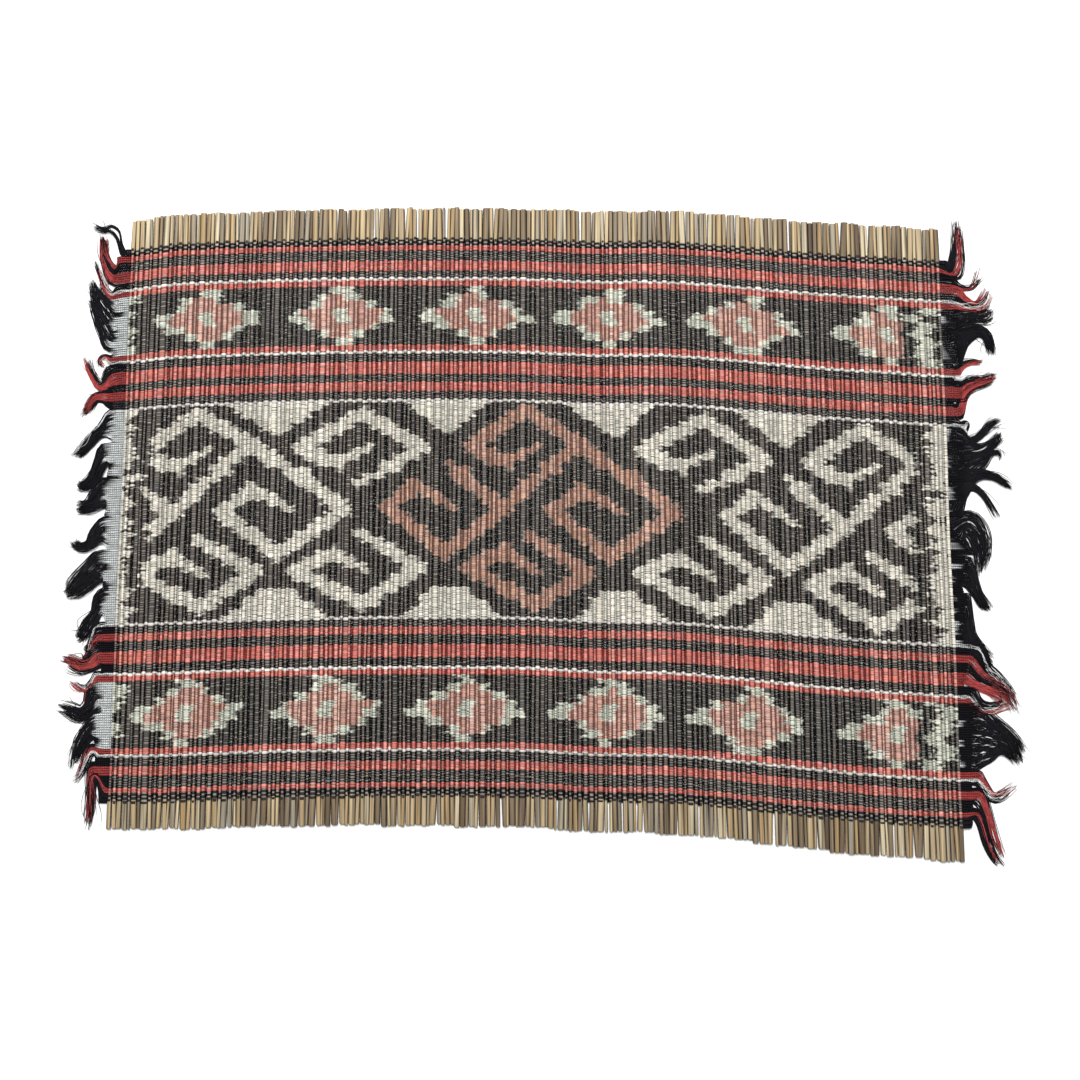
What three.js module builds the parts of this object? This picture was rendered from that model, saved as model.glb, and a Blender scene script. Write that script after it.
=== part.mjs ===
// A bamboo placemat lying flat: cotton warps woven over split-bamboo splints, each splint a rib of the field,
// with bare splint ends along the two long sides and the loose warp ends as a fringe at the two short sides.
// Millimetres. X runs along the warps, Y along the splints away from the viewer, Z up.
import * as THREE from 'three';
import { mergeVertices } from 'three/addons/utils/BufferGeometryUtils.js';

// Woven field, measured before it is drawn out of square
const FIELD_LEFT = -222.3;
const FIELD_RIGHT = 216.8;
const FIELD_BACK = 159.2;
const FIELD_FRONT = -141;
const FIELD_THICKNESS = 2.4;
const GROOVE_DEPTH = 0.7;
const CROWN_START = 0.28; // where a rib's flat crown starts and ends, as a share of its width
const CROWN_END = 0.72;

// Splints: one to a rib
const SPLINT_COUNT = 172;
const SPLINT_THICKNESS = 1.2;
const SPLINT_LIFT = 0.6; // the warps under a splint hold it off the table
const WIDE_AND_NARROW = 0.13; // every other splint is wider by this share
const WIDTH_SPREAD = 0.7;
const WIDTH_STEP = 0.6180339887;

// Bare splint ends
const BARE_SPREAD = 0.8; // in length, from one end to the next
const HANDFUL_SPREAD = 1.2; // and from one handful of ends to the next
const HANDFUL = 5;
const ROOT_BAR = 2.5; // the ends are joined this far out from the last warp
const ENDS_PER_ROOT_POINT = 4;
const SLOT_WIDTH = 0.9;
const BACK_ENDS = {
  side: 1,
  last: FIELD_BACK,
  bare: 16.7,
  slant: 0.003, // growth of the bare length along X
  lengthStep: Math.SQRT2,
  slots: [-89, -65.5, -52, 21, 135], // X of the gaps that are wide enough to see through
};
const FRONT_ENDS = {
  side: -1,
  last: FIELD_FRONT,
  bare: 14.4,
  slant: 0.008,
  lengthStep: Math.sqrt(3),
  slots: [-21, 10, 26, 34.5, 42.5, 50, 81, 120.5, 181],
};

// How the warps are drawn out of square
const BOW_CREST_X = -60;
const BOW_LEFT = 4.4;
const BOW_RIGHT_START_X = 15;
const BOW_RIGHT = 13.3;
const DIP = 2;
const DIP_X = 30;
const DIP_REACH = 28;
const FLARE = 6e-5; // how much the splints spread towards the right-hand end, per millimetre
// Towards both ends the warps draw together: from which X, and how far for each millimetre along them
const LEFT_DRAW_X = -197;
const LEFT_DRAW = 5.1e-4;
const LEFT_DROOP = 0.013;
const RIGHT_DRAW_X = 190;
const RIGHT_DRAW = 1.3e-4;
const RIGHT_DROOP = 0.037;

// Fringe
const FRINGE_THICKNESS = 1.4;
const HEADING = 7; // the tufts part this far from the field
const NODE_GAP = 0.3; // between neighbouring pieces

// Tufts from the back to the front, on the table: the Y at which each parts from the next one, then X, Y and width
// where it bends and at its tip
const LEFT_TUFTS = [
  { parts: 148.8, bend: [-229.5, 160, 3], tip: [-244, 167.5, 2] },
  { parts: 132.5, bend: [-236, 147, 6], tip: [-237.5, 160.5, 4] },
  { parts: 125, bend: [-236.5, 133, 3.5], tip: [-242, 147.5, 2] },
  { parts: 110, bend: [-236, 122, 7], tip: [-243.5, 136.5, 2] },
  { parts: 95.5, bend: [-236, 104.5, 7], tip: [-241.5, 112, 3] },
  { parts: 89, bend: [-234, 92, 2], tip: [-236.5, 90.5, 2] },
  { parts: 77.5, bend: [-236.5, 79, 5], tip: [-243, 87, 2.5] },
  { parts: 64, bend: [-237, 70, 7], tip: [-245, 59, 3.5] },
  { parts: 46, bend: [-236.5, 50, 6], tip: [-249.5, 37, 3.5] },
  { parts: 27, bend: [-236, 30, 7], tip: [-245.5, 22.5, 4] },
  { parts: 6, bend: [-237, 13, 9], tip: [-247, 10, 5] },
  { parts: -12, bend: [-236.5, -7, 8], tip: [-246.5, -8.5, 4] },
  { parts: -32, bend: [-238, -26, 12], tip: [-250, -37, 4] },
  { parts: -50, bend: [-235.5, -50, 7], tip: [-241.5, -61.5, 5] },
  { parts: -60, bend: [-233.5, -60, 4], tip: [-236, -65.5, 2] },
  { parts: -76, bend: [-237.5, -73, 9], tip: [-250, -68.5, 4] },
  { parts: -81.5, bend: [-235, -83, 3], tip: [-244, -81.5, 2] },
  { parts: -98, bend: [-237, -96, 9], tip: [-252, -93.5, 5] },
  { parts: -114.5, bend: [-236.5, -112, 7], tip: [-241.5, -122, 3] },
  { parts: -122.5, bend: [-235.5, -124, 4], tip: [-243.5, -135, 3.5] },
  { parts: FIELD_FRONT, bend: [-230.5, -143, 7], tip: [-231.5, -160.5, 5] },
];
const RIGHT_TUFTS = [
  { parts: 136.5, bend: [226, 150, 9], tip: [227, 169.5, 5] },
  { parts: 132, bend: [232, 133, 5], tip: [243, 143, 2.5] },
  { parts: 120.5, bend: [236, 123, 6], tip: [243, 132, 3.5] },
  { parts: 108, bend: [236, 114.5, 9], tip: [245, 118, 6] },
  { parts: 88.5, bend: [234, 104, 8], tip: [242.5, 94, 3] },
  { parts: 82.5, bend: [229, 88.5, 3], tip: [238, 89.5, 2] },
  { parts: 67.5, bend: [232, 78.5, 7], tip: [247, 83.5, 3] },
  { parts: 58, bend: [229, 66, 5], tip: [238, 71, 3] },
  { parts: 45, bend: [232, 48, 5], tip: [247, 58.5, 2.5] },
  { parts: 33, bend: [236, 41.5, 9], tip: [246.5, 50.5, 3.5] },
  { parts: 24, bend: [235, 33, 6], tip: [244.5, 33.5, 3] },
  { parts: 14, bend: [236, 26.5, 5], tip: [253, 20.5, 3] },
  { parts: 5, bend: [232, 15, 5], tip: [243, 2.5, 2.5] },
  { parts: -15, bend: [231.5, -8, 10], tip: [232, -27, 4.5] },
  { parts: -35, bend: [228.5, -35, 6], tip: [235.5, -44.5, 4] },
  { parts: -68, bend: [227.5, -62, 7], tip: [236, -75, 5] },
  { parts: -86, bend: [235, -86, 9], tip: [249, -100, 5] },
  { parts: -127, bend: [236, -111, 24], tip: [248, -124, 6] },
  { parts: -137, bend: [232, -138.5, 5], tip: [246, -134.5, 3] },
  { parts: FIELD_FRONT, bend: [230.5, -156, 8], tip: [236.5, -176, 4] },
];

// A repeatable spread of values from 0 to 1, even over any run of neighbours where step is irrational
function spread(index, step) {
  const value = (index + 1) * step;
  return value - Math.floor(value);
}

// Where a point of the square weave lies on the table
function lie(x, y) {
  const left = Math.max(0, (BOW_CREST_X - x) / (BOW_CREST_X - FIELD_LEFT));
  const right = THREE.MathUtils.smoothstep(x, BOW_RIGHT_START_X, FIELD_RIGHT);
  const dip = Math.exp(-(((x - DIP_X) / DIP_REACH) ** 2));
  const leftDraw = Math.max(0, LEFT_DRAW_X - x) * (LEFT_DRAW * y + LEFT_DROOP);
  const rightDraw = Math.max(0, x - RIGHT_DRAW_X) * (RIGHT_DRAW * y + RIGHT_DROOP);
  const spread = FLARE * Math.max(0, x) * y;
  return y - BOW_LEFT * left ** 2 - BOW_RIGHT * right - DIP * dip + spread - leftDraw - rightDraw;
}

// Splint boundaries from left to right
function splintEdges() {
  const widths = [];
  for (let i = 0; i < SPLINT_COUNT; i += 1) {
    const alternate = i % 2 ? WIDE_AND_NARROW : -WIDE_AND_NARROW;
    widths.push(1 + alternate + WIDTH_SPREAD * (spread(i, WIDTH_STEP) - 0.5));
  }
  const unit = (FIELD_RIGHT - FIELD_LEFT) / widths.reduce((sum, width) => sum + width, 0);
  const edges = [FIELD_LEFT];
  for (const width of widths) {
    edges.push(edges[edges.length - 1] + width * unit);
  }
  return edges;
}

const EDGES = splintEdges();

function extrude(shape, depth) {
  return new THREE.ExtrudeGeometry(shape, { depth, bevelEnabled: false, steps: 1 });
}

// A closed mesh with its shared vertices merged
function closed(geometry) {
  geometry.deleteAttribute('normal');
  geometry.deleteAttribute('uv');
  return mergeVertices(geometry, 1e-4);
}

// Points of the ribbed top from left to right: a groove and the two ends of a crown for each splint
function ribPoints() {
  const points = [];
  for (let i = 0; i < SPLINT_COUNT; i += 1) {
    const width = EDGES[i + 1] - EDGES[i];
    points.push({ x: EDGES[i], top: FIELD_THICKNESS - GROOVE_DEPTH });
    points.push({ x: EDGES[i] + CROWN_START * width, top: FIELD_THICKNESS });
    points.push({ x: EDGES[i] + CROWN_END * width, top: FIELD_THICKNESS });
  }
  points.push({ x: FIELD_RIGHT, top: FIELD_THICKNESS - GROOVE_DEPTH });
  return points;
}

// A unit box with a step at each rib point, drawn out to the ribbed and bowed sheet
function wovenField() {
  const ribs = ribPoints();
  const steps = ribs.length - 1;
  const geometry = new THREE.BoxGeometry(1, 1, 1, steps, 1, 1);
  const position = geometry.getAttribute('position');
  for (let k = 0; k < position.count; k += 1) {
    const { x, top } = ribs[Math.round((position.getX(k) + 0.5) * steps)];
    const y = position.getY(k) > 0 ? FIELD_BACK : FIELD_FRONT;
    position.setXYZ(k, x, lie(x, y), position.getZ(k) > 0 ? top : 0);
  }
  return closed(geometry);
}

function nearestEdge(x) {
  const gaps = EDGES.map((edge) => Math.abs(edge - x));
  return gaps.indexOf(Math.min(...gaps));
}

// One comb of bare ends
function splintEnds({ side, last, bare, slant, lengthStep, slots }) {
  const slotted = new Set(slots.map(nearestEdge));
  const varied = (index, range) => range * (spread(index, lengthStep) - 0.5);
  const root = (x) => new THREE.Vector2(x, lie(x, last) + side * NODE_GAP);
  const bar = (x) => new THREE.Vector2(x, lie(x, last) + side * ROOT_BAR);
  const tip = (x, i) => {
    const uneven = varied(i, BARE_SPREAD) + varied(Math.floor(i / HANDFUL), HANDFUL_SPREAD);
    return new THREE.Vector2(x, lie(x, last) + side * (bare + slant * x + uneven));
  };
  const points = EDGES.filter((_, i) => i % ENDS_PER_ROOT_POINT === 0).map(root).reverse();
  points.push(tip(EDGES[0], 0));
  for (let i = 1; i < SPLINT_COUNT; i += 1) {
    const open = slotted.has(i);
    const half = open ? SLOT_WIDTH / 2 : 0;
    points.push(tip(EDGES[i] - half, i - 1));
    if (open) {
      points.push(bar(EDGES[i] - half), bar(EDGES[i] + half));
    }
    points.push(tip(EDGES[i] + half, i));
  }
  points.push(tip(FIELD_RIGHT, SPLINT_COUNT - 1));
  const geometry = extrude(new THREE.Shape(points), SPLINT_THICKNESS);
  geometry.translate(0, 0, SPLINT_LIFT);
  return closed(geometry);
}

// The outline of one tuft from its back to its front: out past the bend to the tip, and in again
function tuftOutline({ bend, tip }, side) {
  const bendMiddle = new THREE.Vector2(bend[0], bend[1]);
  const tipMiddle = new THREE.Vector2(tip[0], tip[1]);
  const along = tipMiddle.clone().sub(bendMiddle).normalize();
  const toBack = new THREE.Vector2(-along.y, along.x).multiplyScalar(side);
  const beside = (middle, distance) => middle.clone().addScaledVector(toBack, distance);
  return [
    beside(bendMiddle, bend[2] / 2),
    beside(tipMiddle, tip[2] / 2),
    beside(tipMiddle, -tip[2] / 2),
    beside(bendMiddle, -bend[2] / 2),
  ];
}

// One comb: the heading along the field's edge and the tufts that leave it
function fringe(tufts, edge, side) {
  const root = (y) => new THREE.Vector2(edge + side * NODE_GAP, lie(edge, y));
  const points = [root(FIELD_BACK)];
  for (const tuft of tufts) {
    points.push(...tuftOutline(tuft, side));
    const isLast = tuft === tufts[tufts.length - 1];
    points.push(isLast ? root(FIELD_FRONT) : new THREE.Vector2(edge + side * HEADING, tuft.parts));
  }
  return closed(extrude(new THREE.Shape(points), FRINGE_THICKNESS));
}

const COTTON = new THREE.MeshStandardMaterial({ color: 0x6b4a45, roughness: 0.9, metalness: 0 });
const BAMBOO = new THREE.MeshStandardMaterial({ color: 0xb09a78, roughness: 0.6, metalness: 0 });
const LOOSE_COTTON = new THREE.MeshStandardMaterial({ color: 0x24222c, roughness: 0.95, metalness: 0 });

function piece(name, geometry, material) {
  const mesh = new THREE.Mesh(geometry, material);
  mesh.name = name;
  return mesh;
}

// The mat, set down with its outer box centred on the origin
const mat = new THREE.Group();
mat.add(
  piece('woven_field', wovenField(), COTTON),
  piece('splint_ends_back', splintEnds(BACK_ENDS), BAMBOO),
  piece('splint_ends_front', splintEnds(FRONT_ENDS), BAMBOO),
  piece('fringe_left', fringe(LEFT_TUFTS, FIELD_LEFT, -1), LOOSE_COTTON),
  piece('fringe_right', fringe(RIGHT_TUFTS, FIELD_RIGHT, 1), LOOSE_COTTON),
);
const middle = new THREE.Box3().setFromObject(mat).getCenter(new THREE.Vector3());
mat.position.set(-middle.x, -middle.y, 0);

export default mat;
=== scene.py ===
"""A bamboo placemat lying flat: every splint and every warp yarn is modelled, and the dyes are worked out
along the warps. Sizes are in millimetres until a mesh is made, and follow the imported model's frame: X runs
along the warps, Y along the splints away from the viewer, Z up."""
import math

import bpy
import numpy as np
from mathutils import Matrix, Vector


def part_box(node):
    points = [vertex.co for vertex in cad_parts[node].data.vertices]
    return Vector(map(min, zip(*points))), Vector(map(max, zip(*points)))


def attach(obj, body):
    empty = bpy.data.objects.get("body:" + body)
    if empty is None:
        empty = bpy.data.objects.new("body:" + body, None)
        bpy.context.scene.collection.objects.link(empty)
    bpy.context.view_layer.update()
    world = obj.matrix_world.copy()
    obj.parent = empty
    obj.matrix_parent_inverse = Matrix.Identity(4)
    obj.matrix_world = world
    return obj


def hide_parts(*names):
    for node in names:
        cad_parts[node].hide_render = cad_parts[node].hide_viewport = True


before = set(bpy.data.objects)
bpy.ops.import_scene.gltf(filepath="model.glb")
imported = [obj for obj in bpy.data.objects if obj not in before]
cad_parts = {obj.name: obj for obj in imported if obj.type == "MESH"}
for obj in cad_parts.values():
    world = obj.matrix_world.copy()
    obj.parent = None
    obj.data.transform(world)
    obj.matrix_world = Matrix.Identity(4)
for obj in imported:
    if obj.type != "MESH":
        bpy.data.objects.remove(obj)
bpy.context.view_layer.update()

MM = 0.001

# Woven field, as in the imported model, before it is drawn out of square
FIELD_LEFT = -222.3
FIELD_RIGHT = 216.8
FIELD_BACK = 159.2
FIELD_FRONT = -141.0
BOW_CREST_X = -60.0
BOW_LEFT = 4.4
BOW_RIGHT_START_X = 15.0
BOW_RIGHT = 13.3
DIP = 2.0
DIP_X = 30.0
DIP_REACH = 28.0
FLARE = 6e-5
# Towards both ends the warps draw together: from which X, and how far for each millimetre along them
LEFT_DRAW_X = -197.0
LEFT_DRAW = 5.1e-4
LEFT_DROOP = 0.013
RIGHT_DRAW_X = 190.0
RIGHT_DRAW = 1.3e-4
RIGHT_DROOP = 0.037

# Splints, one to a rib
SPLINT_COUNT = 172
SPLINT_THICKNESS = 1.2
SPLINT_HEIGHT = 1.2  # middle of a splint above the table
BARE_SHARE = (0.95, 1.05)  # width of a bare splint, as a share of its rib
TIP_LEAN = 0.3
GROOVE = (0.07, 0.25)  # half of a groove between ribs, as a share of the narrower rib beside it
GROOVE_LIGHT = 0.16  # light that gets down to the edge of the narrowest groove
SWAY = 0.3  # how far a splint strays from straight
SWAY_LENGTH = (60.0, 160.0)
WIDE_AND_NARROW = 0.13
WIDTH_SPREAD = 0.7
SPLINT_STATIONS = 16

# Bare splint ends: their length past the last warp, its growth along X, and X of the gaps between them
BACK_BARE = 16.7
BACK_SLANT = 0.003
BACK_SLOTS = (-89.0, -65.5, -52.0, 21.0, 135.0)
FRONT_BARE = 14.4
FRONT_SLANT = 0.008
FRONT_SLOTS = (-21.0, 10.0, 26.0, 34.5, 42.5, 50.0, 81.0, 120.5, 181.0)
SLOT_WIDTH = 0.9
BARE_SPREAD = 0.8
HANDFUL_SPREAD = 1.2
HANDFUL = 5

# Warp yarns: flattened where they float over a splint, and drawn thin between two splints. Black yarns are
# hard spun and lie a little apart, the tied ones less so, and the white ones and the selvedge are thicker.
YARN_PITCH = 0.62
FLOAT_WIDTH = 1.1
RED_FLOAT_WIDTH = 1.05
DARK_FLOAT_WIDTH = 0.7
TIED_FLOAT_WIDTH = 0.88
BOUND_WIDTH = 0.52
THICK_BOUND_WIDTH = 0.95
THICK_FLOAT_WIDTH = 1.25
THICK_PITCHES = {"white": 0.75, "selvedge": 1.1}
FLOAT_SHIFT = 0.13
YARN_THICKNESS = 0.4
PLIES = 3
THICK_PLIES = {"white": 4, "selvedge": 10}
LOCK = 4  # yarns that stray together in the fringe
PLY_RADIUS = 0.21

# Stripes from the back to the front, by the mesh that they go into: the dye of each, and where it ends
BANDS = {
    "back_border": (
        ("selvedge", 154.8), ("red", 151.9), ("black", 146.1), ("red", 140.5), ("black", 136.6),
        ("white", 135.1), ("red", 132.0),
    ),
    "back_diamonds": (("diamonds", 99.0),),
    "back_stripes": (
        ("red", 95.9), ("white", 94.4), ("black", 89.6), ("red", 82.9), ("black", 78.5),
        ("red", 73.5), ("black", 69.0), ("white", 67.5),
    ),
    "centre_back": (("figures", 10.2),),
    "centre_front": (("figures", -47.4),),
    "front_stripes": (
        ("white", -48.9), ("black", -52.8), ("red", -56.8), ("black", -62.2), ("red", -68.8),
        ("black", -73.5), ("white", -75.0), ("red", -77.9),
    ),
    "front_diamonds": (("diamonds", -112.9),),
    "front_border": (
        ("red", -115.9), ("white", -117.4), ("black", -122.2), ("red", -126.7), ("black", -133.2),
        ("red", -135.8), ("selvedge", FIELD_FRONT),
    ),
}
STRIPES = [(piece, dye, end) for piece, stripes in BANDS.items() for dye, end in stripes]

# Resist-dyed figures, charted. Bundles of warps are tied together, so a figure's edge steps from
# bundle to bundle and feathers along each yarn.
BUNDLE = 3.4
BUNDLE_SLIP = 1.1
YARN_SLIP = 0.8
END_SLIP = 2.4  # how much further the dye's edge wanders at both ends of the weave
DYE_EDGE = 0.9
TIED_DYE = 0.96  # how much of the dark dye the tied yarns take up
FIGURE_MIDDLE = 10.2
STROKE_HALF_WIDTH = 3.8
# Strokes of one hooked figure, about its middle: the width left at the last point, and points with X along
# the warps and Y across them
HOOKED_FIGURE = (
    (1.0, ((-8, 53), (18, 38), (35, 25), (50, 16), (68, 2))),
    (0.35, ((-8, 53), (-38, 33), (-19, 24), (-1, 34))),
    (1.0, ((-50, -24), (-20, -1), (10, 27), (22, 36))),
    (1.0, ((-20, 0), (-47, 21))),
    (0.35, ((-50, -24), (-81, 0), (-66, 12), (-44, -1))),
    (1.0, ((72, 0), (37, -24))),
    (0.35, ((37, -24), (6, -1), (23, 11), (45, -1))),
    (0.8, ((26, -33), (-6, -15))),
    (0.6, ((26, -33), (-4, -51), (-38, -32), (-19, -23), (-1, -34))),
)
# The half figure that stands between two hooked ones, at the front and mirrored at the back
HALF_FIGURE = (
    (0.7, ((28, -32), (-5, -13))),
    (0.5, ((28, -32), (-3, -51), (-38, -33), (-18, -24), (0, -33))),
)
HOOKED_FIGURE_X = (-175, 0, 180)
ORANGE_FIGURE = 1
HALF_FIGURE_X = (-91, 91)
# Undyed wedges on the long edges of the centre: X of the base, from and to, and of the blunt tip
CENTRE_BACK = 67.5
CENTRE_FRONT = -47.4
WEDGE_DEPTH = 16.5
BACK_WEDGES = ((-168, -113, -143, -137), (-73, -28, -52, -46), (13, 60, 38, 44), (103, 150, 127, 133))
FRONT_WEDGES = ((-167, -112, -146, -132), (-72, -22, -56, -41), (18, 67, 33, 46), (108, 160, 124, 138))
# Stepped diamonds: the middles of each row of them, and half the width of the undyed shape and of its rose
# fill in each of a diamond's steps
BACK_DIAMONDS = (-178.9, -106.5, -34.0, 37.6, 111.2, 187.4)
FRONT_DIAMONDS = (-183.2, -110.0, -37.4, 36.2, 109.0, 185.5)
DIAMOND_STEPS = (
    (5.0, 0.0),
    (10.5, 5.0),
    (18.5, 11.5),
    (26.5, 19.5),
    (29.5, 21.0),
    (20.5, 14.0),
    (12.5, 6.5),
    (4.5, 0.0),
)
DIAMOND_JITTER = 1.8
EYE_STEPS = (3, 4)
EYE_HALF_WIDTH = 3.9
# Both ends of the weave: X of the centre's dark bands, of the undyed ends of the diamonds' rows, and of the
# cut through the last diamonds, and how gradually the dye comes and goes
CENTRE_LEFT_DARK = (-218.0, -209.5)
CENTRE_RIGHT_DARK = (197.0, 205.5)
ROW_LEFT_UNDYED = -219.5
ROW_RIGHT_UNDYED = (201.5, 212.0)
END_EDGE = 1.5
DIAMOND_CUT = (194.5, 196.5)

# Fringe tufts, charted on the table: where a tuft's warps leave the weave, from the back to the
# front, and then X, Y and width along its middle
LEFT_TUFTS = (
    (154, 151.2, ((-224, 151, 3), (-227, 156, 1.8), (-229, 162.9, 1.4), (-233.5, 166.3, 1.2),
        (-238, 165.5, 1.2), (-244, 168.6, 1))),
    (151.2, 148.8, ((-224, 149, 3), (-227.5, 152, 1.8), (-230.5, 159, 1.4), (-234.5, 163, 1.2),
        (-238, 163.5, 1.2), (-243.5, 166.5, 1))),
    (148.8, 132.5, ((-224, 140.5, 16), (-229, 139, 12), (-233, 140.5, 7), (-236.5, 148, 5),
        (-237.5, 156, 4.5), (-237.5, 161.5, 4))),
    (132.5, 125, ((-224, 129, 7), (-231, 126.5, 4.5), (-235, 130, 3.5), (-239, 138, 2.5),
        (-242, 147.5, 2))),
    (125, 110, ((-224, 117.5, 15), (-230, 118, 13), (-235, 122, 9), (-240, 129, 6), (-243.5, 136.5, 2))),
    (110, 95.5, ((-224, 103, 14.5), (-230, 103, 12), (-233.5, 106, 8), (-237, 113, 6), (-241, 121, 4),
        (-243.5, 126, 2))),
    (95.5, 89, ((-224, 92.3, 6.5), (-230, 91, 3), (-233, 92.8, 2.4), (-235.5, 92.5, 2), (-236.5, 90, 2),
        (-234, 86.5, 2))),
    (89, 77.5, ((-224, 83.3, 11.5), (-229, 81.5, 9), (-233, 78, 6.5), (-236, 76.5, 5), (-239, 80.5, 4.5),
        (-242, 87, 3.5), (-243.8, 93, 2))),
    (77.5, 64, ((-224, 70.8, 13.5), (-230, 70.5, 9), (-234.5, 70.5, 6), (-238.5, 69.5, 5), (-242, 64, 4.5),
        (-245, 58, 3.5))),
    (64, 46, ((-224, 55, 18), (-230, 53.5, 9), (-236, 50, 5.5), (-241, 44.5, 5), (-245, 39.5, 4.5),
        (-249.5, 36.5, 3))),
    (46, 27, ((-224, 36.5, 19), (-229.5, 38, 13), (-233, 35, 7), (-235.5, 29, 6), (-239, 24, 5.5),
        (-243, 22, 5), (-246.5, 23.5, 2))),
    (27, 6, ((-224, 16.5, 21), (-229.5, 18, 15), (-234, 15, 10), (-238, 11.5, 7), (-242, 10, 6),
        (-246.5, 10, 5))),
    (6, -12, ((-224, -3, 18), (-229, -3, 13), (-233.5, -5, 9), (-237, -9.5, 5), (-241.5, -11.5, 4),
        (-245.5, -9.5, 3.5), (-247.5, -6.5, 2))),
    (-12, -32, ((-224, -22, 20), (-230, -21, 15), (-235, -24, 13), (-240, -29, 12), (-245, -34, 9),
        (-250, -37, 3))),
    (-32, -50, ((-224, -41, 18), (-230, -42, 8), (-233, -46, 6), (-236, -52, 8), (-239, -58, 7),
        (-242, -62, 4))),
    (-50, -60, ((-224, -55, 10), (-230, -55.5, 7), (-233, -58.5, 4), (-235.5, -63, 3), (-237, -67.5, 2))),
    (-60, -76, ((-224, -68, 16), (-229.5, -67.5, 13), (-234, -71.5, 9.5), (-239, -73.5, 7.5),
        (-244.5, -71, 6.5), (-250, -68.5, 4))),
    (-76, -81.5, ((-224, -78.7, 5.5), (-230, -78, 4), (-232.5, -81, 3), (-236, -85, 3), (-241, -84, 2.5),
        (-246, -80, 2))),
    (-81.5, -98, ((-224, -89.7, 16.5), (-229.5, -90, 12), (-233, -95, 9), (-238, -98.5, 8),
        (-244, -96.5, 7.5), (-251, -93.5, 5))),
    (-98, -114.5, ((-224, -106.2, 16.5), (-229.5, -106.5, 12), (-233, -107.5, 8), (-236.5, -112, 6.5),
        (-239.5, -120, 5), (-242, -128.5, 3))),
    (-114.5, -122.5, ((-224, -118.5, 8), (-229, -115.8, 6.5), (-233, -118, 4.5), (-235, -124, 3.5),
        (-238, -130, 4), (-244, -135.5, 3.5))),
    (-122.5, -134, ((-224, -128.3, 11.5), (-228.5, -127.5, 9), (-231, -131, 6), (-231, -140, 5),
        (-231, -150, 5), (-232, -160.5, 3.5))),
    (-134, -146, ((-223, -139, 10), (-226, -134.5, 5), (-229, -130.5, 3), (-230.2, -134, 3),
        (-230.3, -145, 3), (-231, -157, 2.5))),
)
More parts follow.
